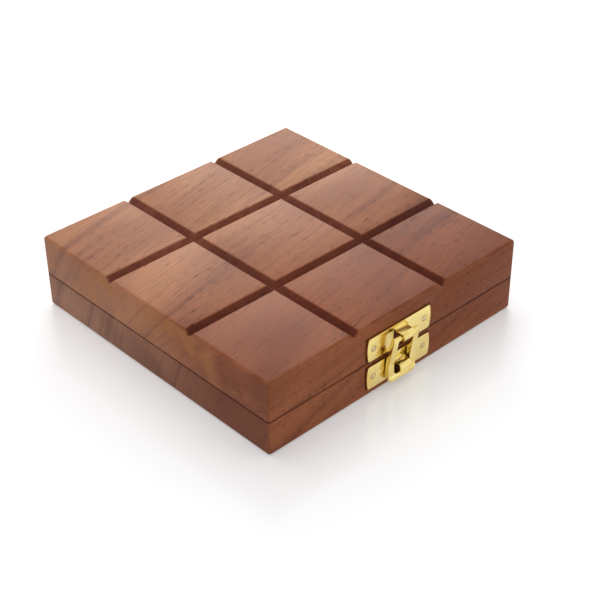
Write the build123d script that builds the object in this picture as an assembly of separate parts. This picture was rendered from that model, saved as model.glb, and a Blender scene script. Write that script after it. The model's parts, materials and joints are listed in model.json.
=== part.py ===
from build123d import *
import math
import os

# Sizes are in millimetres. X runs along the latched front, Y towards the hinges, Z up.
# The origin is the middle of the base's underside.

# Wooden box
box_width = 130.0
box_depth = 130.0
base_height = 15.0
lid_height = 17.0
rim = 9.0
lid_roof = 6.0
recess_depth = 4.0
hollow_corner = 6.0
corner_radius = 1.2
edge_radius = 1.4
parting_ease = 0.3

# Scored grid on the lid
middle_cell = 41.4
groove_width = 4.8
groove_root = 0.4

# Cross-shaped peg board let into the base
board_thickness = 6.5
board_fit = 0.2
board_corner = 1.5
holes_across = 7
arm_holes = 3
hole_margin = 12.5
hole_diameter = 5.0
hole_depth = 5.5

# Turned pegs
peg_clearance = 0.3
peg_head = 8.0
peg_stand = 8.8
peg_dome = 3.4
peg_brow = 0.8
peg_cove = 2.6
peg_ease = 0.5

# Noughts and crosses, kept in the four corners that the board leaves free
pocket_gap = 2.0
token_clearance = 2.8
token_thickness = 5.0
token_ease = 0.6
nought_wall = 8.6
cross_arm = 8.4
token_stacks = ((-1, -1, "cross", 3), (1, 1, "cross", 2), (1, -1, "nought", 3), (-1, 1, "nought", 2))

# Sheet brass and nails
sheet = 0.8
nail_shank = 1.1
nail_head = 2.5
nail_length = 6.4
nail_dome = 0.3
nail_tip = 1.0
nail_clearance = 0.05
countersink_gap = 0.15

# Latch plates, each with a tongue cut from its lower edge
latch_offset = -0.8
latch_length = 33.4
latch_height = 10.0
latch_bulge = 0.7
latch_corner = 0.7
latch_nail_inset = 3.3
lid_plate_gap = 1.0
base_plate_gap = 1.5
tongue_width = 5.6
tongue_slot = 0.5
tongue_length = 8.0
tongue_bend = 1.0
tongue_lead = 0.1
roll_wrap = 255.0
nose_length = 6.2
nose_reach = 4.6
nose_rise = 0.5
nose_drop = 2.8
nose_curl = 1.6
nose_lip = 0.8

# Swinging ring of the latch
ring_bar = 2.0
ring_clearance = 0.05
ring_pivot_out = 4.1
ring_pivot_up = 7.35
ring_knee_up = -4.0
ring_drop = 19.85
ring_wall_gap = 0.3
ring_slide = -0.5
ring_width = 14.3
ring_shoulder = 13.3
ring_arm = 3.1
ring_depth = 2.1
ring_belly = 0.5
ring_foot = 3.3
ring_round = 3.0
ring_window_round = 1.2
ring_foot_round = 1.2

# Butt hinges at the back
hinge_inset = 27.0
hinge_length = 24.0
hinge_leaf = 9.0
hinge_pin = 1.4
hinge_clearance = 0.05
hinge_wall_gap = 0.3
hinge_side_gap = 0.1
hinge_knuckles = 5
hinge_wrap = 280.0
hinge_nail_spacing = 15.0
hinge_nail_up = 5.6
hinge_pin_head = 2.2
hinge_pin_cap = 0.5

# Levels and spans that follow from the sizes above
board_top = base_height - recess_depth
hole_floor = board_top - hole_depth
hollow_width = box_width - 2 * rim
hollow_depth = box_depth - 2 * rim
box_height = base_height + lid_height
lid_ceiling = box_height - lid_roof
hole_pitch = (min(hollow_width, hollow_depth) - 2 * hole_margin) / (holes_across - 1)
tray_floor = board_top - board_thickness
arm_reach = hole_pitch * (arm_holes - 1) / 2 + peg_head / 2 + pocket_gap
pocket_width = hollow_width / 2 - arm_reach
pocket_length = hollow_depth / 2 - arm_reach
token_size = min(pocket_width, pocket_length) - 2 * token_clearance
hinge_roll = hinge_pin / 2 + hinge_clearance + sheet / 2
hinge_axis_out = hinge_roll + sheet / 2 + hinge_wall_gap
overshoot = 5.0

# Planes on the walls at the parting line: x along the wall, y up, z outwards
front_wall = Plane(
    origin=(latch_offset, -box_depth / 2, base_height), x_dir=(1, 0, 0), z_dir=(0, -1, 0)
)
back_walls = {
    side: Plane(
        origin=(sign * (box_width / 2 - hinge_inset), box_depth / 2, base_height),
        x_dir=(-1, 0, 0),
        z_dir=(0, 1, 0),
    )
    for side, sign in (("left", -1), ("right", 1))
}
# Seen along the wall, with x outwards and y up
side_view = Plane(origin=(0, 0, 0), x_dir=(0, 0, 1), z_dir=(-1, 0, 0))


def wooden_block(bottom, height):
    """A board of the box with its upright corners rounded."""
    block = Pos(0, 0, bottom + height / 2) * Box(box_width, box_depth, height)
    return fillet(block.edges().filter_by(Axis.Z), corner_radius)


def hollow_block(floor, top):
    """The round-cornered space that a cutter clears inside the rim between two levels."""
    outline = RectangleRounded(hollow_width, hollow_depth, hollow_corner)
    return extrude(Pos(0, 0, floor) * outline, top - floor)


def score_line(length):
    """The stock that one V groove of the grid removes, along X at the lid's top."""
    half = groove_width / 2
    vee = make_face(
        Polyline(
            (-half - overshoot, overshoot),
            (0, -half),
            (half + overshoot, overshoot),
            close=True,
        )
    )
    root = vee.vertices().sort_by(Axis.Y)[0]
    cut = extrude(Plane.YZ * fillet(root, groove_root), length / 2 + overshoot, both=True)
    return Pos(0, 0, box_height) * cut


def peg_places():
    """Centres of the holes of the cross-shaped board, row by row."""
    middle = (holes_across - 1) / 2
    reach = (arm_holes - 1) / 2
    steps = [n - middle for n in range(holes_across)]
    return [
        (column * hole_pitch, row * hole_pitch)
        for row in steps
        for column in steps
        if abs(row) <= reach or abs(column) <= reach
    ]


def pocket_centre(sign_x, sign_y):
    """The middle of a corner of the base that the peg board leaves free."""
    return sign_x * (arm_reach + pocket_width / 2), sign_y * (arm_reach + pocket_length / 2)


def latch_nail_places():
    """Places of a latch plate's two nails along the wall."""
    reach = latch_length / 2 - latch_nail_inset
    return (-reach, reach)


def hinge_nail_places():
    """Places of a hinge leaf's two nails along the wall."""
    return (-hinge_nail_spacing / 2, hinge_nail_spacing / 2)


def plate_middle(above):
    """Height of a latch plate's middle from the parting line."""
    if above:
        return lid_plate_gap + latch_height / 2
    return -base_plate_gap - latch_height / 2


def nail_frames(above):
    """Where the nails of the latch and of the hinges stand in one half of the box."""
    up = hinge_nail_up if above else -hinge_nail_up
    latch = [front_wall * Pos(x, plate_middle(above), sheet) for x in latch_nail_places()]
    hinges = [
        wall * Pos(x, up, sheet) for wall in back_walls.values() for x in hinge_nail_places()
    ]
    return latch, hinges


def nail():
    """A brass nail with a low domed countersunk head, its rim level with Z = 0."""
    head, shank = nail_head / 2, nail_shank / 2
    neck = -(head - shank)
    dome = (head**2 + nail_dome**2) / (2 * nail_dome)
    outline = Polyline(
        (0, nail_dome), (0, -nail_length), (shank, nail_tip - nail_length), (shank, neck), (head, 0)
    ) + RadiusArc((0, nail_dome), (head, 0), dome)
    return revolve(Plane.XZ * make_face(outline), Axis.Z)


def countersink():
    """The stock that a nail hole with its countersink removes from sheet brass."""
    mouth = nail_head / 2 + countersink_gap
    bore = nail_shank / 2 + nail_clearance
    below = -2 * sheet
    outline = Polyline((0, 0), (mouth, 0), (bore, bore - mouth), (bore, below), (0, below), close=True)
    return revolve(Plane.XZ * make_face(outline), Axis.Z)


def pilot_holes(above):
    """The holes for the nails in one half of the wooden box."""
    latch, hinges = nail_frames(above)
    bore = nail_shank / 2 + nail_clearance
    depth = nail_length + nail_clearance
    return [frame * Pos(0, 0, -depth / 2) * Cylinder(bore, depth) for frame in latch + hinges]


def make_base():
    """The base: a board milled out to a flat tray inside its rim."""
    base = wooden_block(0, base_height)
    base = fillet(base.faces().sort_by(Axis.Z)[0].edges(), edge_radius)
    base = chamfer(base.faces().sort_by(Axis.Z)[-1].edges(), parting_ease)
    return base - hollow_block(tray_floor, base_height + overshoot) - pilot_holes(above=False)


def make_peg_board():
    """The cross-shaped board glued into the tray, with a blind hole for each peg."""
    arms = [
        Rectangle(hollow_width - 2 * board_fit, 2 * arm_reach),
        Rectangle(2 * arm_reach, hollow_depth - 2 * board_fit),
    ]
    outline = make_face((arms[0] + arms[1]).wires()[0])
    crooks = outline.vertices().sort_by(lambda corner: abs(corner.X * corner.Y))[-4:]
    hole = Pos(0, 0, hole_floor + hole_depth / 2) * Cylinder(hole_diameter / 2, hole_depth)
    board = extrude(Pos(0, 0, tray_floor) * fillet(crooks, board_corner), board_thickness)
    return board - [Pos(x, y) * hole for x, y in peg_places()]


def make_lid():
    """The lid: a hollowed board with a three by three grid scored in its top."""
    lid = wooden_block(base_height, lid_height)
    lid = fillet(lid.faces().sort_by(Axis.Z)[-1].edges(), edge_radius)
    lid = chamfer(lid.faces().sort_by(Axis.Z)[0].edges(), parting_ease)
    cuts = [hollow_block(base_height - overshoot, lid_ceiling)]
    line_at = (middle_cell + groove_width) / 2
    for place in (-line_at, line_at):
        cuts.append(Pos(0, place) * score_line(box_width))
        cuts.append(Pos(place, 0) * Rot(0, 0, 90) * score_line(box_depth))
    return lid - cuts - pilot_holes(above=True)


def make_peg():
    """A turned peg: a plain shank, a cove under the head and a domed head."""
    shank = hole_diameter / 2 - peg_clearance
    head = peg_head / 2
    top = hole_depth + peg_stand
    dome_start = top - peg_dome
    brow = dome_start - peg_brow
    dome = (head**2 + peg_dome**2) / (2 * peg_dome)
    outline = (
        Polyline((0, top), (0, 0), (shank - peg_ease, 0), (shank, peg_ease), (shank, brow - peg_cove))
        + RadiusArc((shank, brow - peg_cove), (head, brow), -peg_cove)
        + Line((head, brow), (head, dome_start))
        + RadiusArc((head, dome_start), (0, top), -dome)
    )
    return Pos(0, 0, hole_floor) * revolve(Plane.XZ * make_face(outline), Axis.Z)


def make_nought():
    """A ring-shaped playing piece with eased edges."""
    outer = token_size / 2
    ring = extrude(Circle(outer) - Circle(outer - nought_wall), token_thickness)
    return chamfer(ring.edges(), token_ease)


def make_cross():
    """An X-shaped playing piece with eased edges."""
    bar = Rectangle(token_size * math.sqrt(2) - cross_arm, cross_arm)
    cross = extrude(Rot(0, 0, 45) * bar + Rot(0, 0, -45) * bar, token_thickness)
    faces = cross.faces().sort_by(Axis.Z)
    return chamfer(faces[0].edges() + faces[-1].edges(), token_ease)


def stored_tokens():
    """The playing pieces in their corners of the tray, each stack from the bottom up."""
    shapes = {"cross": make_cross(), "nought": make_nought()}
    numbers = {"cross": 0, "nought": 0}
    tokens = {}
    for sign_x, sign_y, kind, count in token_stacks:
        x, y = pocket_centre(sign_x, sign_y)
        for level in range(count):
            numbers[kind] += 1
            place = Pos(x, y, tray_floor + level * token_thickness)
            tokens[f"{kind}_{numbers[kind]}"] = place * shapes[kind]
    return tokens


def plate_outline():
    """A latch plate's outline, with its ends slightly bowed and its corners eased."""
    half = latch_length / 2 - latch_bulge
    rise = latch_height / 2
    outline = (
        Line((-half, -rise), (half, -rise))
        + SagittaArc((half, -rise), (half, rise), -latch_bulge)
        + Line((half, rise), (-half, rise))
        + SagittaArc((-half, rise), (-half, -rise), -latch_bulge)
    )
    face = make_face(outline)
    return fillet(face.vertices(), latch_corner)


def bent_strip(path, width):
    """Sheet brass that follows a path in the side view, across a width."""
    section = make_face(offset(Wire(path.edges()), sheet / 2, side=Side.BOTH))
    return extrude(side_view * section, width / 2, both=True)


def rolled_path(root, bend, bend_radius, axis, radius, wrap):
    """Middle line of a strip that leaves a plate and rolls clockwise round an axis."""
    across, up = axis[0] - bend[0], axis[1] - bend[1]
    reach = math.hypot(across, up)
    heading = math.atan2(up, across) + math.asin(radius / reach)
    run = math.sqrt(reach**2 - radius**2)
    touch = (bend[0] + run * math.cos(heading), bend[1] + run * math.sin(heading))
    lead = FilletPolyline(root, bend, touch, radius=bend_radius)
    return lead + JernArc(touch, (math.cos(heading), math.sin(heading)), radius, -wrap)


def latch_plate(above, slot_length):
    """A latch plate with its nail holes and the slot that its tongue leaves."""
    middle = plate_middle(above)
    plate = extrude(Pos(0, middle) * plate_outline(), sheet)
    slot_width = tongue_width + 2 * tongue_slot
    lower_edge = middle - latch_height / 2
    slot = Pos(0, lower_edge + slot_length / 2) * Box(slot_width, slot_length, 4 * sheet)
    holes = [Pos(x, middle, sheet) * countersink() for x in latch_nail_places()]
    return plate - slot - holes


def make_lid_plate():
    """The upper latch plate, whose tongue is rolled into the ring's knuckle."""
    root = plate_middle(True) - latch_height / 2 + tongue_length
    knuckle = ring_bar / 2 + ring_clearance + sheet / 2
    path = rolled_path(
        (sheet / 2, root + tongue_bend + tongue_lead),
        (sheet / 2, root),
        tongue_bend,
        (ring_pivot_out, ring_pivot_up),
        knuckle,
        roll_wrap,
    )
    return front_wall * (latch_plate(True, tongue_length) + bent_strip(path, tongue_width))


def make_base_plate():
    """The lower latch plate, whose tongue is curled into the nose that the ring snaps over."""
    root = plate_middle(False) - latch_height / 2 + nose_length
    tip = root - nose_drop
    path = FilletPolyline(
        (sheet / 2, root + tongue_bend + tongue_lead),
        (sheet / 2, root),
        (nose_reach, root - nose_rise),
        (nose_reach, tip),
        (nose_reach - nose_lip, tip - nose_lip / 2),
        radius=(tongue_bend, nose_curl, sheet / 2 + nose_rise / 4),
    )
    return front_wall * (latch_plate(False, nose_length) + bent_strip(path, tongue_width))


def ring_outline():
    """The ring seen from the front: two arms that splay a little, and a round-cornered foot."""
    top = ring_pivot_up + ring_depth / 2
    foot = ring_pivot_up - ring_drop
    half, shoulder = ring_width / 2, ring_shoulder / 2
    inner = half - ring_arm
    splay = foot + ring_width / 2
    right = [(half, foot), (half, splay), (shoulder, top)]
    left = [(-x, y) for x, y in reversed(right)]
    outside = make_face(Polyline(*right, *left, close=True))
    outside = fillet(outside.vertices().sort_by(Axis.Y)[:2], ring_round)
    window_height = ring_drop + overshoot
    window = Pos(0, foot + ring_foot + window_height / 2) * Rectangle(2 * inner, window_height)
    return outside - fillet(window.vertices().sort_by(Axis.Y)[:2], ring_window_round)


def ring_side():
    """The ring seen from its side: upright along the lower plate, then leaning out to its pivot."""
    rest = sheet + ring_wall_gap + ring_depth / 2
    foot = ring_pivot_up - ring_drop
    run, rise = ring_pivot_out - rest, ring_pivot_up - ring_knee_up
    lean = math.degrees(math.atan2(rise, run))
    arm = SlotCenterToCenter(math.hypot(run, rise), ring_depth, rotation=lean)
    shank = Rectangle(ring_depth, ring_knee_up - foot - ring_depth / 2)
    bar = RectangleRounded(ring_depth + ring_belly, ring_foot, ring_foot_round)
    return (
        Pos(rest + run / 2, ring_knee_up + rise / 2) * arm
        + Pos(rest, (ring_knee_up + foot + ring_depth / 2) / 2) * shank
        + Pos(rest + ring_belly / 2, foot + ring_foot / 2) * bar
    )


def make_ring():
    """The latch ring, carried by a round bar in the knuckle and hanging a little to one side."""
    loop = extrude(ring_outline(), ring_drop) & extrude(side_view * ring_side(), ring_width, both=True)
    bar_length = ring_width - ring_arm
    bar = Pos(0, ring_pivot_up, ring_pivot_out) * Rot(0, 90, 0) * Cylinder(ring_bar / 2, bar_length)
    return front_wall * Pos(ring_slide, 0, 0) * (loop + bar)


def hinge_leaf_part(knuckles):
    """The lower leaf of a hinge with the given knuckles, seen from the parting line."""
    segment = hinge_length / hinge_knuckles
    clear = hinge_roll + sheet / 2 + hinge_wall_gap + sheet / 2
    blade = Pos(0, -(hinge_leaf + clear) / 2, sheet / 2) * Box(hinge_length, hinge_leaf - clear, sheet)
    blade = fillet(blade.edges().filter_by(Axis.Z).group_by(Axis.Y)[0], latch_corner)
    holes = [Pos(x, -hinge_nail_up, sheet) * countersink() for x in hinge_nail_places()]
    path = rolled_path(
        (sheet / 2, -clear - sheet),
        (sheet / 2, -clear),
        sheet,
        (hinge_axis_out, 0),
        hinge_roll,
        hinge_wrap,
    )
    roll = bent_strip(path, segment - hinge_side_gap)
    middle = (hinge_knuckles - 1) / 2
    rolls = [Pos((n - middle) * segment, 0, 0) * roll for n in knuckles]
    return blade - holes + rolls


def make_hinge(wall):
    """A butt hinge on its wall: both leaves, and the pin that joins them."""
    base_leaf = hinge_leaf_part(range(0, hinge_knuckles, 2))
    lid_leaf = mirror(hinge_leaf_part(range(1, hinge_knuckles, 2)), about=Plane.XZ)
    stem = Cylinder(hinge_pin / 2, hinge_length)
    cap_at = (hinge_length + hinge_pin_cap) / 2
    caps = [Pos(0, 0, end * cap_at) * Cylinder(hinge_pin_head / 2, hinge_pin_cap) for end in (-1, 1)]
    pin = Pos(0, 0, hinge_axis_out) * Rot(0, 90, 0) * (stem + caps)
    return {"lid_leaf": wall * lid_leaf, "base_leaf": wall * base_leaf, "pin": wall * pin}


def make_nails():
    """The nails in four groups, each in one half of the box."""
    groups = {}
    for half, above in (("lid", True), ("base", False)):
        latch, hinges = nail_frames(above)
        groups[f"latch_{half}_nails"] = Compound(children=[frame * nail() for frame in latch])
        groups[f"hinge_{half}_nails"] = Compound(children=[frame * nail() for frame in hinges])
    return groups


def make_pegs():
    """A peg for every hole but the middle one."""
    peg = make_peg()
    filled = [place for place in peg_places() if place != (0, 0)]
    return {f"peg_{n:02d}": Pos(x, y) * peg for n, (x, y) in enumerate(filled, 1)}


def make_parts():
    """Every node of the box by name."""
    parts = {"base_board": make_base(), "peg_board": make_peg_board(), "lid_board": make_lid()}
    parts["latch_lid_plate"] = make_lid_plate()
    parts["latch_base_plate"] = make_base_plate()
    parts["latch_ring"] = make_ring()
    for side, wall in back_walls.items():
        for name, piece in make_hinge(wall).items():
            parts[f"hinge_{side}_{name}"] = piece
    parts.update(make_nails())
    parts.update(make_pegs())
    parts.update(stored_tokens())
    return parts


os.makedirs("parts", exist_ok=True)
for name, piece in make_parts().items():
    export_step(piece, f"parts/{name}.step")
    print(name, len(piece.solids()), round(piece.volume, 1))
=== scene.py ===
"""The looks of a hinged wooden game box: a scored lid, a brass ring latch, a peg board and its pieces.

Lengths are metres in the frame's own axes: X along the latched front, Y towards the hinges, Z up.
"""

import json
import logging
import math
from collections.abc import Callable
from dataclasses import dataclass
from enum import Enum

import bmesh
import bpy
from mathutils import Matrix, Vector

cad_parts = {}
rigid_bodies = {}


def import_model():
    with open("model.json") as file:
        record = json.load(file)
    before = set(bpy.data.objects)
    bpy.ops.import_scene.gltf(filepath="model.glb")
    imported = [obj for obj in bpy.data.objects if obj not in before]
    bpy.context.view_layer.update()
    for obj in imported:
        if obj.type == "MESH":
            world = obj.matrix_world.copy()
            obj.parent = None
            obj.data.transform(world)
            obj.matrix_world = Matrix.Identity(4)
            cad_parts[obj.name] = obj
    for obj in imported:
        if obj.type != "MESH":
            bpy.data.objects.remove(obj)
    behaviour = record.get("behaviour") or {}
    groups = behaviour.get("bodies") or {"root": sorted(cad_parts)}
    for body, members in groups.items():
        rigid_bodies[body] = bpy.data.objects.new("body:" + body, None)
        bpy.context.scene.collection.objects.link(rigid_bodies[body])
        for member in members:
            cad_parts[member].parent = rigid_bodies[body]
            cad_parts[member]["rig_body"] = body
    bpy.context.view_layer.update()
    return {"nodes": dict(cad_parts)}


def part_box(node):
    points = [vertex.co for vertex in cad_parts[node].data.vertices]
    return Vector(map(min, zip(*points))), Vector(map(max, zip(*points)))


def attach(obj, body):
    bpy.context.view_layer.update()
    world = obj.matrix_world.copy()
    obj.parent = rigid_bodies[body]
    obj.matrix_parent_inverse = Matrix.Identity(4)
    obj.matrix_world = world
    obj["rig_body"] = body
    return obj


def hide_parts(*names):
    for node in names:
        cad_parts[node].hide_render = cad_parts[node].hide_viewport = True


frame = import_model()
LID_LOW, LID_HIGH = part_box("lid_board")

MM = 0.001
WHITE = (1.0, 1.0, 1.0, 1.0)
WELD = 0.002 * MM
FLAT_ANGLE = math.radians(0.6)
ARRIS_ANGLE = math.radians(32)
ARRIS_STEPS = 3
CREASE_ANGLE = math.radians(35)
ROUND_ANGLE = math.radians(60)

DRIFT_SCALE = 16.0
CLOUD_SCALE = 34.0
FIBRE_SCALE = 2600.0
CLOUD_STRETCH = 0.35
FIBRE_STRETCH = 0.035
PORE_STRETCH = 0.08
BAND_CHANGE = 7.0
LINE_CHANGE = 22.0
LINES_A_RING = 5.0
LINE_START = 3.7
RAGGED_SCALE = 180.0
SCRATCH_STRETCH = 0.03
SCRATCH_TURNS = ((0.5, 0.13), (2.1, 0.41), (3.9, 0.77))

Colour = tuple[float, float, float]
Place = tuple[float, float, float]
Socket = bpy.types.NodeSocket
Sockets = dict[str, Socket]
Feed = Socket | float | tuple[float, ...]
log = logging.getLogger("game_box")


class Slot(Enum):
    """The record's material slots."""

    ROSEWOOD = "rosewood"
    BRASS = "brass"
    NAIL_BRASS = "nail_brass"
    PEG_WOOD = "peg_wood"
    DARK_TOKEN_WOOD = "dark_token_wood"
    PALE_TOKEN_WOOD = "pale_token_wood"


class Body(Enum):
    """The halves of the case that carry fixed pieces."""

    BASE = "base"
    LID = "lid"


class Sketch:
    """Draws a node tree: adds nodes, sets their plain values and links the rest."""

    def __init__(self, tree: bpy.types.NodeTree) -> None:
        """Starts on an empty tree.

        Args:
            tree: The node tree to draw in.
        """
        self.tree = tree
        tree.nodes.clear()

    def node(
        self, kind: str, inputs: dict[str | int, object] | None = None, **settings: object
    ) -> bpy.types.Node:
        """Adds one node.

        Args:
            kind: The node's Blender type.
            inputs: Sockets by name or number, each with a value or with the socket that feeds it.
            settings: Properties of the node itself.

        Returns:
            The new node.
        """
        made = self.tree.nodes.new(kind)
        for name, value in settings.items():
            setattr(made, name, value)
        for key, value in (inputs or {}).items():
            if isinstance(value, Socket):
                self.tree.links.new(value, made.inputs[key])
            else:
                made.inputs[key].default_value = value
        return made

    def calc(self, operation: str, *values: Feed, clamp: bool = False) -> Socket:
        """Works out a number.

        Args:
            operation: The Math node's operation.
            values: Its numbers or sockets.
            clamp: Whether the result stays from 0 to 1.

        Returns:
            The result's socket.
        """
        inputs = dict(enumerate(values))
        return self.node("ShaderNodeMath", inputs, operation=operation, use_clamp=clamp).outputs[0]

    def vector(self, operation: str, *values: Feed) -> Socket:
        """Works out a vector.

        Args:
            operation: The Vector Math node's operation.
            values: Its vectors or sockets.

        Returns:
            The result's socket.
        """
        made = self.node("ShaderNodeVectorMath", dict(enumerate(values)), operation=operation)
        return made.outputs["Value" if operation in ("LENGTH", "DOT_PRODUCT") else "Vector"]

    def split(self, value: Socket) -> tuple[Socket, ...]:
        """Takes a vector apart into its X, Y and Z."""
        return tuple(self.node("ShaderNodeSeparateXYZ", {0: value}).outputs)

    def join(self, x: Feed, y: Feed, z: Feed) -> Socket:
        """Makes a vector from its X, Y and Z."""
        return self.node("ShaderNodeCombineXYZ", {0: x, 1: y, 2: z}).outputs[0]

    def remap(
        self, value: Socket, low: Feed, high: Feed, start: float = 0.0, end: float = 1.0
    ) -> Socket:
        """Maps a range of a value smoothly to another range.

        Args:
            value: The socket to map.
            low: The value that gives start.
            high: The value that gives end.
            start: The result at low and before it.
            end: The result at high and past it.

        Returns:
            The result's socket.
        """
        inputs = {0: value, 1: low, 2: high, 3: start, 4: end}
        return self.node("ShaderNodeMapRange", inputs, interpolation_type="SMOOTHSTEP").outputs[0]

    def tint(self, factor: Feed, first: Feed, second: Feed, blend: str = "MIX") -> Socket:
        """Mixes two colours.

        Args:
            factor: How much of the second.
            first: A colour or its socket.
            second: A colour or its socket.
            blend: The Mix node's blend type.

        Returns:
            The result's socket.
        """
        under, over = (c if isinstance(c, Socket) else (*c, 1.0) for c in (first, second))
        inputs = {0: factor, 6: under, 7: over}
        return self.node("ShaderNodeMix", inputs, data_type="RGBA", blend_type=blend).outputs[2]

    def multiply_where(self, mask: Feed, colour: Socket, tint_colour: Colour) -> Socket:
        """Multiplies a colour by a tint where a mask says, for stains and for painted shade alike.

        Args:
            mask: How much of the tint there is, from 0 to 1.
            colour: The socket of the colour under it.
            tint_colour: The colour that multiplies it.

        Returns:
            The tinted colour's socket.
        """
        return self.tint(mask, colour, self.tint(1.0, colour, tint_colour, "MULTIPLY"))

    def noise(
        self, where: Socket, scale: Feed, detail: float = 2.0, roughness: float = 0.5
    ) -> Socket:
        """A noise texture's value, from about 0 to 1.

        Args:
            where: The socket of the place it is read at.
            scale: Its scale.
            detail: How many finer layers it has.
            roughness: How strong those are.

        Returns:
            The value's socket.
        """
        inputs = {"Vector": where, "Scale": scale, "Detail": detail, "Roughness": roughness}
        return self.node("ShaderNodeTexNoise", inputs).outputs[0]


def node_group(
    name: str,
    inputs: dict[str, float | Place | None],
    outputs: tuple[str, ...],
    draw: Callable[[Sketch, Sockets], Sockets],
) -> bpy.types.NodeTree:
    """Builds a shader node group once.

    Args:
        name: The group's name.
        inputs: Each input's name and its usual value; None stands for a place in space.
        outputs: The names of the outputs, which are all plain numbers.
        draw: A function that takes a sketch and the input sockets by name, and returns the output
            sockets by name.

    Returns:
        The group.
    """
    if name in bpy.data.node_groups:
        return bpy.data.node_groups[name]
    group = bpy.data.node_groups.new(name, "ShaderNodeTree")
    for label, value in inputs.items():
        kind = "NodeSocketVector" if value is None or isinstance(value, tuple) else "NodeSocketFloat"
        socket = group.interface.new_socket(label, in_out="INPUT", socket_type=kind)
        if value is not None:
            socket.default_value = value
    for label in outputs:
        group.interface.new_socket(label, in_out="OUTPUT", socket_type="NodeSocketFloat")
    sketch = Sketch(group)
    entry = sketch.node("NodeGroupInput")
    made = draw(sketch, {label: entry.outputs[label] for label in inputs})
    sketch.node("NodeGroupOutput", made)
    return group


def draw_grain(sketch: Sketch, given: Sockets) -> Sockets:
    """Draws a plank's figure as one solid field, so that it runs on from face to face.

    Args:
        sketch: The group's sketch.
        given: The group's input sockets by name.

    Returns:
        The group's output sockets by name.
    """
    turned = sketch.node(
        "ShaderNodeVectorRotate",
        {"Vector": given["Place"], "Angle": given["Grain Angle"]},
        rotation_type="Z_AXIS",
    ).outputs[0]
    wander = {"Vector": turned, "Scale": DRIFT_SCALE, "Detail": 2.0}
    drift = sketch.node("ShaderNodeTexNoise", wander).outputs[1]
    centred = sketch.vector("SUBTRACT", drift, (0.5, 0.5, 0.5))
    sideways = sketch.vector("MULTIPLY", centred, (0.0, 1.0, 1.0))
    scaling = {0: sideways, "Scale": given["Waviness"]}
    bend = sketch.node("ShaderNodeVectorMath", scaling, operation="SCALE")
    place = sketch.vector("ADD", turned, bend.outputs[0])
    along, across, up = sketch.split(sketch.vector("SUBTRACT", place, given["Heart"]))
    radius = sketch.vector("LENGTH", sketch.join(0.0, across, up))
    ring = sketch.calc("DIVIDE", radius, given["Ring Width"])
    broad = sketch.join(ring, sketch.calc("MULTIPLY", along, BAND_CHANGE), 0.0)
    narrow = sketch.join(
        sketch.calc("MULTIPLY", ring, LINES_A_RING),
        sketch.calc("MULTIPLY", along, LINE_CHANGE),
        LINE_START,
    )
    cloudy, fibrous, porous = (
        sketch.vector("MULTIPLY", place, (stretch, 1.0, 1.0))
        for stretch in (CLOUD_STRETCH, FIBRE_STRETCH, PORE_STRETCH)
    )
    band = sketch.noise(broad, scale=1.0, detail=3.0, roughness=0.6)
    fine = sketch.noise(narrow, scale=1.0)
    cloud = sketch.noise(cloudy, CLOUD_SCALE)
    fibre = sketch.noise(fibrous, FIBRE_SCALE, roughness=0.6)
    cells = sketch.node("ShaderNodeTexVoronoi", {"Vector": porous, "Scale": given["Pore Scale"]}).outputs
    crowd = sketch.remap(band, 0.38, 0.62, start=0.16, end=0.34)
    chance = sketch.remap(sketch.split(cells["Color"])[0], 0.25, 0.95)
    pore = sketch.calc("MULTIPLY", sketch.calc("LESS_THAN", cells["Distance"], crowd), chance)
    return {"Band": band, "Fine": fine, "Cloud": cloud, "Fibre": fibre, "Pore": pore}


def grain_group() -> bpy.types.NodeTree:
    """The node group of a plank's figure.

    Returns:
        The group.
    """
    inputs = {
        "Place": None,
        "Grain Angle": 0.0,
        "Heart": (0.0, -0.12, -0.09),
        "Ring Width": 4 * MM,
        "Waviness": 6 * MM,
        "Pore Scale": 2000.0,
    }
    return node_group("plank grain", inputs, ("Band", "Fine", "Cloud", "Fibre", "Pore"), draw_grain)


def draw_arris(sketch: Sketch, given: Sockets) -> Sockets:
    """Draws where a board's long edges are, from its own size.

    Args:
        sketch: The group's sketch.
        given: The group's input sockets by name.

    Returns:
        The group's output sockets by name.
    """
    x, y, z = sketch.split(given["Place"])
    side_x = sketch.calc("SUBTRACT", sketch.calc("ABSOLUTE", x), given["Half Width"])
    side_y = sketch.calc("SUBTRACT", sketch.calc("ABSOLUTE", y), given["Half Depth"])
    top = sketch.calc("SUBTRACT", z, given["Top"])
    bottom = sketch.calc("SUBTRACT", given["Bottom"], z)
    level = sketch.calc("MAXIMUM", top, bottom)
    masks = []
    for first, second in ((side_x, side_y), (side_x, level), (side_y, level)):
        near = sketch.calc("MINIMUM", first, second)
        masks.append(sketch.remap(near, sketch.calc("MULTIPLY", given["Reach"], -1.0), 0.0))
    worn = sketch.calc("MAXIMUM", sketch.calc("MAXIMUM", masks[0], masks[1]), masks[2])
    ragged = sketch.noise(given["Place"], RAGGED_SCALE, detail=3.0)
    return {"Wear": sketch.calc("MULTIPLY", worn, sketch.remap(ragged, 0.35, 0.6))}


def arris_group() -> bpy.types.NodeTree:
    """The node group of a board's worn long edges.

    Returns:
        The group.
    """
    inputs = {
        "Place": None,
        "Half Width": LID_HIGH.x,
        "Half Depth": LID_HIGH.y,
        "Top": LID_HIGH.z,
        "Bottom": 0.0,
        "Reach": 2 * MM,
    }
    return node_group("worn arris", inputs, ("Wear",), draw_arris)


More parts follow.
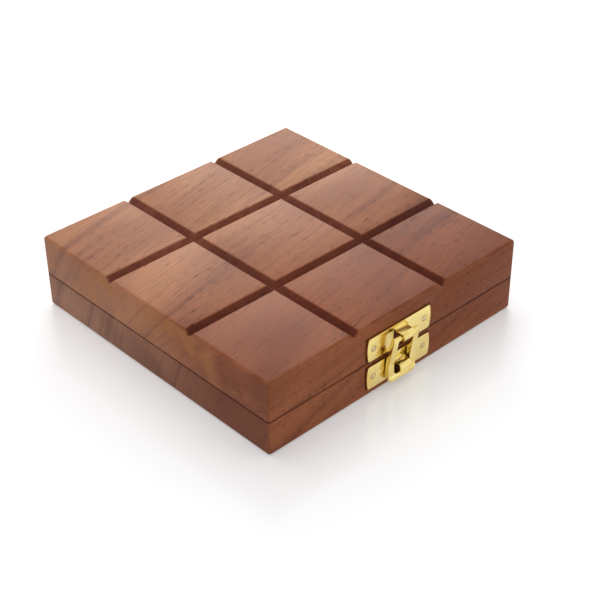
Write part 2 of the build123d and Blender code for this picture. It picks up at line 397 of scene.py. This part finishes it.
def draw_handling(sketch: Sketch, given: Sockets) -> Sockets:
    """Draws the fine scratches and the dull patches that handling leaves.

    Args:
        sketch: The group's sketch.
        given: The group's input sockets by name.

    Returns:
        The group's output sockets by name.
    """
    patch = sketch.noise(given["Place"], given["Patch Scale"], detail=3.0, roughness=0.6)
    lines = []
    for turn, lean in SCRATCH_TURNS:
        turning = {"Vector": given["Place"], "Angle": turn, "Axis": (0.3, 1.0, lean)}
        turned = sketch.node("ShaderNodeVectorRotate", turning).outputs[0]
        drawn_out = sketch.vector("MULTIPLY", turned, (SCRATCH_STRETCH, 1.0, 1.0))
        streaks = sketch.noise(drawn_out, given["Scratch Scale"], detail=1.0)
        lines.append(sketch.remap(streaks, 0.68, 0.74))
    scratch = sketch.calc("MAXIMUM", sketch.calc("MAXIMUM", lines[0], lines[1]), lines[2])
    return {"Patch": patch, "Scratch": scratch}


def handling_group() -> bpy.types.NodeTree:
    """The node group of scratches and dull patches.

    Returns:
        The group.
    """
    inputs = {"Place": None, "Patch Scale": 160.0, "Scratch Scale": 2200.0}
    return node_group("handling marks", inputs, ("Patch", "Scratch"), draw_handling)


def new_material(name: str) -> tuple[bpy.types.Material, Sketch]:
    """Starts a node material.

    Args:
        name: The material's name.

    Returns:
        The material, and a sketch on its empty tree.
    """
    material = bpy.data.materials.new(name)
    material.use_nodes = True
    return material, Sketch(material.node_tree)


def object_place(sketch: Sketch) -> Socket:
    """The socket of a point's place in the piece's own coordinates."""
    return sketch.node("ShaderNodeTexCoord").outputs["Object"]


def close_material(
    sketch: Sketch, colour: Socket, roughness: Socket, height: Socket, depth: float, **constants: float
) -> None:
    """Ends a material with its shader and its bump.

    Args:
        sketch: The material's sketch.
        colour: The socket of the colour.
        roughness: The socket of the roughness.
        height: The socket of the relief.
        depth: How deep the relief is, in metres.
        constants: Plain values of the shader's own sockets, with spaces as underscores.
    """
    bump = sketch.node("ShaderNodeBump", {"Height": height, "Distance": depth, "Strength": 1.0})
    inputs = {"Base Color": colour, "Roughness": roughness, "Normal": bump.outputs[0]}
    inputs |= {name.replace("_", " "): value for name, value in constants.items()}
    shader = sketch.node("ShaderNodeBsdfPrincipled", inputs)
    sketch.node("ShaderNodeOutputMaterial", {0: shader.outputs[0]})


@dataclass(frozen=True)
class WoodFinish:
    """A wood as it looks when oiled: its colours, and how its figure lies."""

    name: str
    pale: Colour
    middle: Colour
    streak: Colour
    pore: Colour
    grain_angle: float = 0.0
    heart: Place = (0.0, -0.12, -0.09)
    ring_width: float = 4 * MM
    waviness: float = 6 * MM
    pore_scale: float = 2000.0
    streak_strength: float = 0.5
    fine_share: float = 0.6
    pore_strength: float = 0.7
    roughness: float = 0.4
    smoother: float = 0.06
    rougher: float = 0.08
    gloss: float = 0.1
    relief_depth: float = 0.05 * MM
    fibre_height: float = 0.35
    pore_depth: float = 0.6

    def figure(self, sketch: Sketch, place: Socket) -> bpy.types.Node:
        """Places the grain group with this wood's values.

        Args:
            sketch: The material's sketch.
            place: The socket of the place.

        Returns:
            The group's node.
        """
        values = {
            "Place": place,
            "Grain Angle": self.grain_angle,
            "Heart": self.heart,
            "Ring Width": self.ring_width,
            "Waviness": self.waviness,
            "Pore Scale": self.pore_scale,
        }
        return sketch.node("ShaderNodeGroup", values, node_tree=grain_group())

    def colour(self, sketch: Sketch, figure: bpy.types.Node) -> Socket:
        """Mixes the wood's colours by its figure.

        Args:
            sketch: The material's sketch.
            figure: The grain group's node.

        Returns:
            The colour's socket.
        """
        out = figure.outputs
        ground = sketch.tint(sketch.remap(out["Cloud"], 0.36, 0.64), self.pale, self.middle)
        streak = sketch.remap(out["Band"], 0.5, 0.74, end=self.streak_strength)
        toned = sketch.tint(streak, ground, self.streak)
        thin = sketch.remap(out["Fine"], 0.52, 0.78, end=self.streak_strength * self.fine_share)
        toned = sketch.tint(thin, toned, self.streak)
        shade = sketch.remap(out["Fibre"], 0.25, 0.75, start=0.82, end=1.15)
        toned = sketch.tint(1.0, toned, sketch.join(shade, shade, shade), "MULTIPLY")
        return sketch.tint(sketch.calc("MULTIPLY", out["Pore"], self.pore_strength), toned, self.pore)

    def surface(self, sketch: Sketch, place: Socket, figure: bpy.types.Node) -> Socket:
        """The colour that shows, which for a plain wood is its own."""
        return self.colour(sketch, figure)

    def relief(self, sketch: Sketch, figure: bpy.types.Node) -> Socket:
        """The height of the fibres with the pores sunk in them.

        Args:
            sketch: The material's sketch.
            figure: The grain group's node.

        Returns:
            The height's socket.
        """
        out = figure.outputs
        fibres = sketch.calc("MULTIPLY", out["Fibre"], self.fibre_height)
        return sketch.calc("SUBTRACT", fibres, sketch.calc("MULTIPLY", out["Pore"], self.pore_depth))

    def material(self) -> bpy.types.Material:
        """Builds the wood's material.

        Returns:
            The material.
        """
        material, sketch = new_material(self.name)
        place = object_place(sketch)
        figure = self.figure(sketch, place)
        colour = self.surface(sketch, place, figure)
        smooth, rough = self.roughness - self.smoother, self.roughness + self.rougher
        roughness = sketch.remap(figure.outputs["Fibre"], 0.2, 0.8, start=smooth, end=rough)
        relief = self.relief(sketch, figure)
        close_material(
            sketch, colour, roughness, relief, self.relief_depth, Specular_IOR_Level=self.gloss
        )
        return material


@dataclass(frozen=True)
class CaseFinish(WoodFinish):
    """The case's rosewood, which is darker in the scored lines and worn at its long edges."""

    rougher: float = 0.1
    relief_depth: float = 0.06 * MM
    half_width: float = LID_HIGH.x
    half_depth: float = LID_HIGH.y
    top: float = LID_HIGH.z
    bottom: float = 0.0
    seam: float = LID_LOW.z
    stain_start: float = 0.3 * MM
    stain_full: float = 0.05 * MM
    groove_tint: Colour = (0.44, 0.27, 0.28)
    groove_start: float = 0.1 * MM
    groove_full: float = 0.5 * MM
    groove_fading: float = 3.5 * MM
    groove_end: float = 4 * MM
    groove_inset: float = 0.2 * MM
    groove_inset_full: float = 1.2 * MM
    rub_scale: float = 240.0
    rubbed: float = 0.86
    # The next tint darkens both the dirt in the parting line and the painted shade round the brass
    # plates.
    grime_and_shade_tint: Colour = (0.34, 0.24, 0.22)
    grime_strength: float = 0.8
    grime_start: float = 0.8 * MM
    grime_full: float = 0.3 * MM
    seam_spread: float = 0.65 * MM
    seam_core: float = 0.15 * MM
    # How far the painted shade reaches out from a brass plate.
    plate_shade_spread: float = 0.7 * MM
    worn: Colour = (0.5, 0.21, 0.1)
    worn_strength: float = 0.25
    # Painted shade towards the front: the next three values darken the wood from the back to the front,
    # in place of the sheen that fades that way.
    front_tint: Colour = (0.58, 0.39, 0.32)
    front_shade_start: float = 45 * MM
    front_shade_full: float = -50 * MM
    side_tint: Colour = (1.3, 1.32, 1.25)
    end_tint: Colour = (0.82, 0.87, 1.05)
    flame: Colour = (0.48, 0.19, 0.06)
    flame_start: Place = (0.0, 0.03, 0.02)
    flame_scale: float = 55.0
    flame_strength: float = 0.0
    # The brass plates round which painted shade is laid.
    fittings: tuple[str, ...] = ()

    def surface(self, sketch: Sketch, place: Socket, figure: bpy.types.Node) -> Socket:
        """Colours the wood: stained scored lines, painted shade towards the front, lighter long faces,
        the ends, dirt in the parting line, painted shade round the brass, and wear.

        Args:
            sketch: The material's sketch.
            place: The socket of the place.
            figure: The grain group's node.

        Returns:
            The colour's socket.
        """
        x, y, _ = sketch.split(place)
        colour = self.colour(sketch, figure)
        colour = sketch.multiply_where(self.grooves(sketch, place), colour, self.groove_tint)
        # Painted shade, darker towards the front, standing in for the sheen that fades from back to
        # front.
        front = sketch.remap(y, self.front_shade_start, self.front_shade_full)
        colour = sketch.multiply_where(front, colour, self.front_tint)
        # Lighter on the long front and back faces; on the latch face this partly undoes the painted
        # shade above.
        colour = sketch.multiply_where(self.on_faces(sketch, y, self.half_depth), colour, self.side_tint)
        ends = self.end_wood(sketch, place, colour)
        colour = sketch.tint(self.on_faces(sketch, x, self.half_width), colour, ends)
        # Dirt in the parting line, and painted shade round the brass plates.
        colour = sketch.multiply_where(self.grime_and_plate_shade(sketch, place), colour, self.grime_and_shade_tint)
        wear = sketch.calc("MULTIPLY", self.wear(sketch, place), self.worn_strength)
        return sketch.tint(wear, colour, self.worn)

    def outwards(self, sketch: Sketch, place: Socket) -> Socket:
        """How far out a point lies from the middle of the box, along X or Y."""
        x, y, _ = sketch.split(place)
        return sketch.calc("MAXIMUM", sketch.calc("ABSOLUTE", x), sketch.calc("ABSOLUTE", y))

    def on_faces(self, sketch: Sketch, along: Socket, half: float) -> Socket:
        """Masks the two outer faces that stand half the box from its middle."""
        out = sketch.calc("ABSOLUTE", along)
        return sketch.remap(out, half - self.stain_start, half - self.stain_full)

    def grooves(self, sketch: Sketch, place: Socket) -> Socket:
        """Masks the walls of the scored lines, rubbed a little paler in places.

        Args:
            sketch: The material's sketch.
            place: The socket of the place.

        Returns:
            The mask's socket.
        """
        z = sketch.split(place)[2]
        half = self.half_width
        under = sketch.remap(z, self.top - self.groove_start, self.top - self.groove_full)
        above = sketch.remap(z, self.top - self.groove_end, self.top - self.groove_fading)
        out = self.outwards(sketch, place)
        within = sketch.remap(out, half - self.groove_inset, half - self.groove_inset_full)
        spots = sketch.noise(place, self.rub_scale, detail=4.0, roughness=0.65)
        left = sketch.remap(spots, 0.4, 0.68, start=1.0, end=self.rubbed)
        groove = sketch.calc("MULTIPLY", sketch.calc("MULTIPLY", under, above), within)
        return sketch.calc("MULTIPLY", groove, left)

    def end_wood(self, sketch: Sketch, place: Socket, colour: Socket) -> Socket:
        """Colours the ends of the boards, with orange flames in them.

        Args:
            sketch: The material's sketch.
            place: The socket of the place.
            colour: The socket of the wood's colour there.

        Returns:
            The colour's socket.
        """
        shifted = sketch.vector("ADD", place, self.flame_start)
        spots = sketch.noise(shifted, self.flame_scale, detail=6.0, roughness=0.62)
        flames = sketch.remap(spots, 0.47, 0.66, end=self.flame_strength)
        dull = sketch.tint(1.0, colour, self.end_tint, "MULTIPLY")
        return sketch.tint(flames, dull, self.flame)

    def grime_and_plate_shade(self, sketch: Sketch, place: Socket) -> Socket:
        """Masks the dirt in the parting line and the painted shade round the brass plates.

        Args:
            sketch: The material's sketch.
            place: The socket of the place.

        Returns:
            The mask's socket.
        """
        z = sketch.split(place)[2]
        off_seam = sketch.calc("ABSOLUTE", sketch.calc("SUBTRACT", z, self.seam))
        line = sketch.remap(off_seam, self.seam_spread, self.seam_core, end=self.grime_strength)
        out, half = self.outwards(sketch, place), self.half_width
        outside = sketch.remap(out, half - self.grime_start, half - self.grime_full)
        grime_and_plate_shade = sketch.calc("MULTIPLY", line, outside)
        # Painted shade round each brass plate.
        for node in self.fittings:
            grime_and_plate_shade = sketch.calc("MAXIMUM", grime_and_plate_shade, self.plate_shade_rim(sketch, place, node))
        return grime_and_plate_shade

    def plate_shade_rim(self, sketch: Sketch, place: Socket, node: str) -> Socket:
        """Masks the painted shade that lies along the rim of a brass plate.

        Args:
            sketch: The material's sketch.
            place: The socket of the place.
            node: The plate's CAD node.

        Returns:
            The mask's socket.
        """
        low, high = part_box(node)
        off = sketch.vector("ABSOLUTE", sketch.vector("SUBTRACT", place, tuple((low + high) / 2)))
        x, y, z = sketch.split(sketch.vector("SUBTRACT", off, tuple((high - low) / 2)))
        reach = sketch.calc("MAXIMUM", sketch.calc("MAXIMUM", x, z), y)
        return sketch.remap(reach, self.plate_shade_spread, 0.0)

    def wear(self, sketch: Sketch, place: Socket) -> Socket:
        """Masks the long edges that hands have worn.

        Args:
            sketch: The material's sketch.
            place: The socket of the place.

        Returns:
            The mask's socket.
        """
        values = {
            "Place": place,
            "Half Width": self.half_width,
            "Half Depth": self.half_depth,
            "Top": self.top,
            "Bottom": self.bottom,
        }
        return sketch.node("ShaderNodeGroup", values, node_tree=arris_group()).outputs["Wear"]


@dataclass(frozen=True)
class BrassFinish:
    """Sheet brass: its colour, its polish and how it has dulled."""

    name: str
    bright: Colour
    dull: Colour
    dullness: float = 0.7
    roughness: float = 0.14
    dull_roughness: float = 0.1
    scratch_roughness: float = 0.12
    scratch_depth: float = 0.03
    dent_scale: float = 260.0
    dent_depth: float = 0.04 * MM

    def material(self) -> bpy.types.Material:
        """Builds the brass.

        Returns:
            The material.
        """
        material, sketch = new_material(self.name)
        place = object_place(sketch)
        marks = sketch.node("ShaderNodeGroup", {"Place": place}, node_tree=handling_group()).outputs
        patch, scratch = marks["Patch"], marks["Scratch"]
        dulled = sketch.calc("MULTIPLY", sketch.remap(patch, 0.4, 0.68), self.dullness)
        colour = sketch.tint(dulled, self.bright, self.dull)
        rough = self.roughness + self.dull_roughness
        polish = sketch.remap(patch, 0.35, 0.7, start=self.roughness, end=rough)
        scoring = sketch.calc("MULTIPLY", scratch, self.scratch_roughness)
        roughness = sketch.calc("ADD", polish, scoring)
        dents = sketch.noise(place, self.dent_scale, detail=1.0)
        height = sketch.calc("SUBTRACT", dents, sketch.calc("MULTIPLY", scratch, self.scratch_depth))
        close_material(sketch, colour, roughness, height, self.dent_depth, Metallic=1.0)
        return material


def rosewood(name: str, **changes: object) -> CaseFinish:
    """The reddish brown rosewood of the case.

    Args:
        name: The material's name.
        changes: Values of its own that a board has.

    Returns:
        The finish.
    """
    return CaseFinish(
        name=name,
        pale=(0.53, 0.245, 0.125),
        middle=(0.385, 0.162, 0.084),
        streak=(0.19, 0.075, 0.06),
        pore=(0.09, 0.03, 0.024),
        grain_angle=math.radians(-12),
        **changes,
    )


def merged_copy(node: str, name: str, flat_angle: float) -> bpy.types.Object:
    """Copies a CAD node's mesh, with its loose triangles joined and its flat ones merged.

    Args:
        node: The CAD node.
        name: The new piece's name.
        flat_angle: The angle up to which neighbours merge.

    Returns:
        The new piece.
    """
    shape = bmesh.new()
    shape.from_mesh(frame["nodes"][node].data)
    bmesh.ops.remove_doubles(shape, verts=shape.verts, dist=WELD)
    if flat_angle:
        bmesh.ops.dissolve_limit(shape, angle_limit=flat_angle, verts=shape.verts, edges=shape.edges)
    mesh = bpy.data.meshes.new(name)
    shape.to_mesh(mesh)
    shape.free()
    piece = bpy.data.objects.new(name, mesh)
    bpy.context.scene.collection.objects.link(piece)
    return piece


def stand_for(piece: bpy.types.Object, node: str) -> None:
    """Lets a finished piece ride on a node's body in the node's place.

    Args:
        piece: The finished piece.
        node: The CAD node.
    """
    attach(piece, frame["nodes"][node]["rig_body"])
    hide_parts(node)


def cast_copy(node: str, name: str, grid: float, passes: int) -> bpy.types.Object:
    """Copies a CAD node as a casting is, with every edge worn round.

    Args:
        node: The CAD node.
        name: The new piece's name.
        grid: The size of the new mesh's faces.
        passes: How many times the surface is smoothed.

    Returns:
        The new piece, which rides on the node's body.
    """
    piece = merged_copy(node, name, 0.0)
    remesh = piece.modifiers.new("grid", "REMESH")
    remesh.mode = "VOXEL"
    remesh.voxel_size = grid
    smooth = piece.modifiers.new("round", "SMOOTH")
    smooth.factor = 0.5
    smooth.iterations = passes
    settle(piece, ROUND_ANGLE)
    stand_for(piece, node)
    return piece


def softened_copy(node: str, name: str, width: float) -> bpy.types.Object:
    """Copies a CAD node's mesh with its sharp edges rounded, and lets the copy stand for the node.

    Args:
        node: The CAD node.
        name: The new piece's name.
        width: How far the rounding reaches from an edge.

    Returns:
        The new piece, which rides on the node's body.
    """
    piece = merged_copy(node, name, FLAT_ANGLE)
    bevel = piece.modifiers.new("arris", "BEVEL")
    bevel.width = width
    bevel.segments = ARRIS_STEPS
    bevel.limit_method = "ANGLE"
    bevel.angle_limit = ARRIS_ANGLE
    bevel.miter_outer = "MITER_ARC"
    settle(piece, CREASE_ANGLE)
    stand_for(piece, node)
    return piece


def settle(piece: bpy.types.Object, smooth_angle: float) -> None:
    """Turns a piece and its modifiers into one plain mesh, smooth but for its sharp edges.

    Args:
        piece: The piece.
        smooth_angle: The angle past which an edge stays sharp.
    """
    bpy.context.view_layer.update()
    evaluated = piece.evaluated_get(bpy.context.evaluated_depsgraph_get())
    mesh = bpy.data.meshes.new_from_object(evaluated)
    mesh.name = piece.name
    piece.modifiers.clear()
    piece.data = mesh
    mesh.shade_smooth()
    mesh.set_sharp_from_angle(angle=smooth_angle)


def dress(piece: bpy.types.Object, material: bpy.types.Material) -> None:
    """Gives a piece its one material.

    Args:
        piece: The piece or CAD node.
        material: The material.
    """
    piece.data.materials.clear()
    piece.data.materials.append(material)


@dataclass
class WoodenCase:
    """The lid, the base and the peg board that is let into it."""

    arris: float = 0.3 * MM

    def finishes(self) -> dict[str, CaseFinish]:
        """The finish of each board.

        Returns:
            The finishes by their CAD nodes.
        """
        lid = rosewood(
            "lid rosewood",
            end_tint=(1.05, 1.04, 1.06),
            flame_strength=0.55,
            fittings=self.plates(Body.LID),
        )
        base = rosewood("base rosewood", heart=(0.0, -0.16, -0.06), fittings=self.plates(Body.BASE))
        # A milder painted shade towards the front on the peg board.
        board = rosewood("peg board rosewood", front_tint=(0.9, 0.85, 0.9), heart=(0.0, 0.1, -0.12))
        return {"lid_board": lid, "base_board": base, "peg_board": board}

    def plates(self, half: Body) -> tuple[str, ...]:
        """The brass plates on one half of the case."""
        part = half.value
        return (f"latch_{part}_plate", f"hinge_left_{part}_leaf", f"hinge_right_{part}_leaf")

    def build(self) -> None:
        """Rounds the boards' arrises and dresses them."""
        for node, finish in self.finishes().items():
            piece = softened_copy(node, f"{node}_eased", self.arris)
            dress(piece, finish.material())
            log.info("%s: %d faces", piece.name, len(piece.data.polygons))


@dataclass
class BrassFittings:
    """The latch and the two hinges."""

    sheet_arris: float = 0.1 * MM
    ring_grid: float = 0.16 * MM
    ring_passes: int = 30
    hinge_parts: tuple[str, ...] = ("lid_leaf", "base_leaf", "pin")
    finish: BrassFinish = BrassFinish(
        "polished brass", bright=(0.9, 0.73, 0.28), dull=(0.82, 0.6, 0.18)
    )

    def build(self) -> None:
        """Rounds the sheet's edges and the ring's, and dresses the brass."""
        material = self.finish.material()
        hinges = [f"hinge_{side}_{part}" for side in ("left", "right") for part in self.hinge_parts]
        nodes = ["latch_lid_plate", "latch_base_plate", *hinges]
        pieces = [softened_copy(node, f"{node}_polished", self.sheet_arris) for node in nodes]
        pieces.append(cast_copy("latch_ring", "latch_ring_cast", self.ring_grid, self.ring_passes))
        for piece in pieces:
            dress(piece, material)
            log.info("%s: %d faces", piece.name, len(piece.data.polygons))


class NailTree:
    """The Geometry Nodes tree that sets a domed nail head at each point of a mesh."""

    segments: int = 24
    rings: int = 14
    tilt: float = 0.05
    seed: int = 5
    dent_scale: float = 900.0
    dent_middle: float = 0.65

    def __init__(self, material: bpy.types.Material, sizes: dict[str, float]) -> None:
        """Builds the tree.

        Args:
            material: The material of the heads.
            sizes: The tree's inputs by name, with their usual values.
        """
        tree = bpy.data.node_groups.new("domed nails", "GeometryNodeTree")
        self.tree = tree
        face = tree.interface
        face.new_socket("Places", in_out="INPUT", socket_type="NodeSocketGeometry")
        self.ids = {}
        for label, value in sizes.items():
            socket = face.new_socket(label, in_out="INPUT", socket_type="NodeSocketFloat")
            socket.default_value = value
            self.ids[label] = socket.identifier
        face.new_socket("Nails", in_out="OUTPUT", socket_type="NodeSocketGeometry")
        sketch = Sketch(tree)
        given = sketch.node("NodeGroupInput").outputs
        turns = {"Segments": self.segments, "Rings": self.rings, "Radius": 1.0}
        ball = sketch.node("GeometryNodeMeshUVSphere", turns)
        size = sketch.join(given["Head Radius"], given["Head Radius"], given["Dome"])
        head = sketch.node("GeometryNodeTransform", {"Geometry": ball.outputs[0], "Scale": size})
        place = sketch.node("GeometryNodeInputPosition").outputs[0]
        facing = sketch.join(0.0, sketch.calc("SIGN", sketch.split(place)[1]), 0.0)
        turn = sketch.node("FunctionNodeAlignRotationToVector", {"Vector": facing}, axis="Z")
        least, most = (-self.tilt, -self.tilt, 0.0), (self.tilt, self.tilt, math.tau)
        chance = {"Min": least, "Max": most, "Seed": self.seed}
        angles = sketch.node("FunctionNodeRandomValue", chance, data_type="FLOAT_VECTOR")
        spin = sketch.node("FunctionNodeEulerToRotation", {0: angles.outputs[0]}).outputs[0]
        turned = sketch.node(
            "FunctionNodeRotateRotation", {0: turn.outputs[0], 1: spin}, rotation_space="LOCAL"
        )
        set_out = sketch.node(
            "GeometryNodeInstanceOnPoints",
            {"Points": given["Places"], "Instance": head.outputs[0], "Rotation": turned.outputs[0]},
        )
        real = sketch.node("GeometryNodeRealizeInstances", {0: set_out.outputs[0]})
        bumps = sketch.node("ShaderNodeTexNoise", {"Scale": self.dent_scale, "Detail": 1.0}).outputs[0]
        push = sketch.calc("SUBTRACT", bumps, self.dent_middle)
        push = sketch.calc("MULTIPLY", push, given["Dents"])
        normal = sketch.node("GeometryNodeInputNormal").outputs[0]
        offset = sketch.node("ShaderNodeVectorMath", {0: normal, "Scale": push}, operation="SCALE")
        shift = {0: real.outputs[0], "Offset": offset.outputs[0]}
        dented = sketch.node("GeometryNodeSetPosition", shift)
        dyed = sketch.node("GeometryNodeSetMaterial", {0: dented.outputs[0], "Material": material})
        sketch.node("NodeGroupOutput", {0: dyed.outputs[0]})


@dataclass
class Nails:
    """The domed brass nails of the latch and the hinges, one piece for each half of the case."""

    head_radius: float = 1.25 * MM
    dome: float = 0.3 * MM
    dents: float = 0.05 * MM
    hinge_spacing: float = 15.0 * MM
    finish: BrassFinish = BrassFinish(
        "nail brass",
        bright=(0.72, 0.57, 0.3),
        dull=(0.5, 0.38, 0.2),
        roughness=0.25,
        dent_scale=900.0,
    )

    def sizes(self) -> dict[str, float]:
        """The sizes of a head, by the names that the tree gives them."""
        return {"Head Radius": self.head_radius, "Dome": self.dome, "Dents": self.dents}

    def places(self, half: Body) -> list[Vector]:
        """The centres of one half's nail heads, on the outside of the sheet brass.

        Args:
            half: The half of the case.

        Returns:
            The centres.
        """
        found = []
        low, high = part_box(f"latch_{half.value}_nails")
        for x in (low.x + self.head_radius, high.x - self.head_radius):
            found.append(Vector((x, low.y + self.dome, (low.z + high.z) / 2)))
        low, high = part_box(f"hinge_{half.value}_nails")
        outer = high.x - self.head_radius
        for x in (-outer, self.hinge_spacing - outer, outer - self.hinge_spacing, outer):
            found.append(Vector((x, high.y - self.dome, (low.z + high.z) / 2)))
        return found

    def build(self) -> None:
        """Sets the nails of both halves."""
        material = self.finish.material()
        tree = NailTree(material, self.sizes())
        for half in (Body.LID, Body.BASE):
            mesh = bpy.data.meshes.new(f"nails_{half.value}")
            mesh.from_pydata(self.places(half), [], [])
            piece = bpy.data.objects.new(mesh.name, mesh)
            bpy.context.scene.collection.objects.link(piece)
            modifier = piece.modifiers.new("nails", "NODES")
            modifier.node_group = tree.tree
            for label, value in self.sizes().items():
                modifier[tree.ids[label]] = value
            settle(piece, ROUND_ANGLE)
            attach(piece, half.value)
            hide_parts(f"latch_{half.value}_nails", f"hinge_{half.value}_nails")
            log.info("%s: %d faces", piece.name, len(piece.data.polygons))


@dataclass
class PlayingPieces:
    """The loose pegs, crosses and noughts."""

    peg: WoodFinish = WoodFinish(
        "waxed peg wood",
        pale=(0.68, 0.46, 0.25),
        middle=(0.58, 0.36, 0.18),
        streak=(0.4, 0.22, 0.1),
        pore=(0.28, 0.15, 0.07),
        heart=(0.0, 0.3, 0.2),
        ring_width=3 * MM,
        streak_strength=0.3,
        pore_strength=0.25,
        roughness=0.3,
        gloss=0.35,
    )
    cross: WoodFinish = WoodFinish(
        "dark token wood",
        pale=(0.2, 0.095, 0.06),
        middle=(0.13, 0.058, 0.04),
        streak=(0.05, 0.024, 0.02),
        pore=(0.02, 0.01, 0.008),
        heart=(0.0, 0.2, -0.3),
        ring_width=3 * MM,
        gloss=0.25,
    )
    nought: WoodFinish = WoodFinish(
        "pale token wood",
        pale=(0.72, 0.54, 0.34),
        middle=(0.6, 0.42, 0.24),
        streak=(0.42, 0.27, 0.14),
        pore=(0.3, 0.18, 0.1),
        heart=(0.0, -0.3, 0.25),
        ring_width=3.5 * MM,
        pore_strength=0.35,
        gloss=0.25,
    )

    def build(self) -> None:
        """Dresses every loose piece."""
        finishes = {"peg_": self.peg, "cross_": self.cross, "nought_": self.nought}
        for prefix, finish in finishes.items():
            material = finish.material()
            for node, piece in frame["nodes"].items():
                if node.startswith(prefix) and node != "peg_board":
                    dress(piece, material)
            log.info("dressed %s", prefix)


@dataclass(frozen=True)
class Lamp:
    """A square soft lamp that points at the object."""

    name: str
    power: float
    size: float
    place: Place

    def hang(self) -> None:
        """Hangs the lamp in its place."""
        data = bpy.data.lights.new(self.name, "AREA")
        data.energy = self.power
        data.size = self.size
        lamp = bpy.data.objects.new(self.name.replace(" ", "_"), data)
        lamp.location = self.place
        lamp.rotation_euler = (-Vector(self.place)).to_track_quat("-Z", "Y").to_euler()
        bpy.context.scene.collection.objects.link(lamp)


@dataclass
class Studio:
    """A white table and white surroundings, softly lit from above and behind."""

    floor_size: float = 6.0
    floor_colour: Colour = (0.8, 0.8, 0.8)
    floor_lift: float = 0.3
    floor_roughness: float = 0.2
    floor_gloss: float = 0.85
    bright_side: float = 0.72
    dark_side: float = 0.55
    mirror_dark: float = 0.25
    bright_way: Place = (0.56, 0.6, 0.57)
    bright_span: float = 0.7
    dark_way: Place = (-0.35, -0.4, 0.85)
    dark_start: float = 0.6
    dark_full: float = 0.9
    lamps: tuple[Lamp, ...] = (
        Lamp("overhead lamp", power=2.0, size=0.6, place=(0.05, 0.3, 0.9)),
        Lamp("low back lamp", power=3.2, size=0.42, place=(0.72, 0.78, 0.5)),
    )

    def backdrop(self) -> None:
        """Lights the world: white to the eye and in reflections, darker behind the camera."""
        world = bpy.data.worlds.new("white room")
        world.use_nodes = True
        bpy.context.scene.world = world
        sketch = Sketch(world.node_tree)
        place = sketch.node("ShaderNodeTexCoord").outputs["Generated"]
        way = sketch.vector("DOT_PRODUCT", place, self.bright_way)
        span = self.bright_span
        soft = sketch.remap(way, -span, span, start=self.dark_side, end=self.bright_side)
        shade = sketch.vector("DOT_PRODUCT", place, self.dark_way)
        shown = sketch.remap(shade, self.dark_start, self.dark_full, start=1.0, end=self.mirror_dark)
        path = sketch.node("ShaderNodeLightPath").outputs
        shown = sketch.calc("MAXIMUM", shown, path["Is Camera Ray"])
        levels = {0: self.seen(sketch), 2: soft, 3: shown}
        level = sketch.node("ShaderNodeMix", levels, data_type="FLOAT")
        light = sketch.node("ShaderNodeBackground", {0: WHITE, 1: level.outputs[0]})
        sketch.node("ShaderNodeOutputWorld", {0: light.outputs[0]})

    def seen(self, sketch: Sketch) -> Socket:
        """Whether a ray comes from the eye, from gloss or through glass.

        Args:
            sketch: The sketch to draw in.

        Returns:
            The socket, 1 for such a ray.
        """
        path = sketch.node("ShaderNodeLightPath").outputs
        gloss = sketch.calc("ADD", path["Is Camera Ray"], path["Is Glossy Ray"])
        return sketch.calc("ADD", gloss, path["Is Transmission Ray"], clamp=True)

    def floor(self) -> None:
        """Lays the table top."""
        half = self.floor_size / 2
        mesh = bpy.data.meshes.new("table_top")
        corners = [(-half, -half, 0), (half, -half, 0), (half, half, 0), (-half, half, 0)]
        mesh.from_pydata(corners, [], [(0, 1, 2, 3)])
        top = bpy.data.objects.new("table_top", mesh)
        bpy.context.scene.collection.objects.link(top)
        material, sketch = new_material("white table")
        lift = sketch.calc("MULTIPLY", self.seen(sketch), self.floor_lift)
        shader = sketch.node(
            "ShaderNodeBsdfPrincipled",
            {
                "Base Color": (*self.floor_colour, 1.0),
                "Roughness": self.floor_roughness,
                "Specular IOR Level": self.floor_gloss,
                "Emission Color": WHITE,
                "Emission Strength": lift,
            },
        )
        sketch.node("ShaderNodeOutputMaterial", {0: shader.outputs[0]})
        mesh.materials.append(material)

    def build(self) -> None:
        """Sets up the whole studio."""
        self.backdrop()
        self.floor()
        for lamp in self.lamps:
            lamp.hang()
        bpy.context.scene.view_settings.view_transform = "Standard"
        log.info("studio lit")


@dataclass(frozen=True)
class PhotoCamera:
    """The photograph's viewpoint, fitted to the corners of the box."""

    azimuth: float = math.radians(-43.29)
    elevation: float = math.radians(34.94)
    roll: float = math.radians(-0.47)
    distance: float = 0.5442
    focal_px: float = 1414.4
    image_px: float = 600.0
    sensor: float = 36.0
    clip_start: float = 10 * MM
    target: Place = (-0.00633, -0.01883, 0.015)

    def build(self) -> None:
        """Sets up the camera."""
        a, e = self.azimuth, self.elevation
        back = Vector((math.sin(a) * math.cos(e), -math.cos(a) * math.cos(e), math.sin(e)))
        right = (-back).cross(Vector((0, 0, 1))).normalized()
        up = right.cross(-back)
        across = math.cos(self.roll) * right + math.sin(self.roll) * up
        upright = -math.sin(self.roll) * right + math.cos(self.roll) * up
        data = bpy.data.cameras.new("camera")
        data.sensor_width = self.sensor
        data.lens = self.focal_px * self.sensor / self.image_px
        data.clip_start = self.clip_start
        camera = bpy.data.objects.new("camera", data)
        turn = Matrix((across, upright, back)).transposed().to_4x4()
        camera.matrix_world = Matrix.Translation(Vector(self.target) + back * self.distance) @ turn
        bpy.context.scene.collection.objects.link(camera)
        bpy.context.scene.camera = camera
        log.info("camera set")


def main() -> None:
    """Builds the scene in order."""
    logging.basicConfig(level=logging.INFO, format="%(name)s: %(message)s")
    for part in (PhotoCamera(), Studio(), WoodenCase(), BrassFittings(), Nails(), PlayingPieces()):
        part.build()


if __name__ == "__main__":
    main()
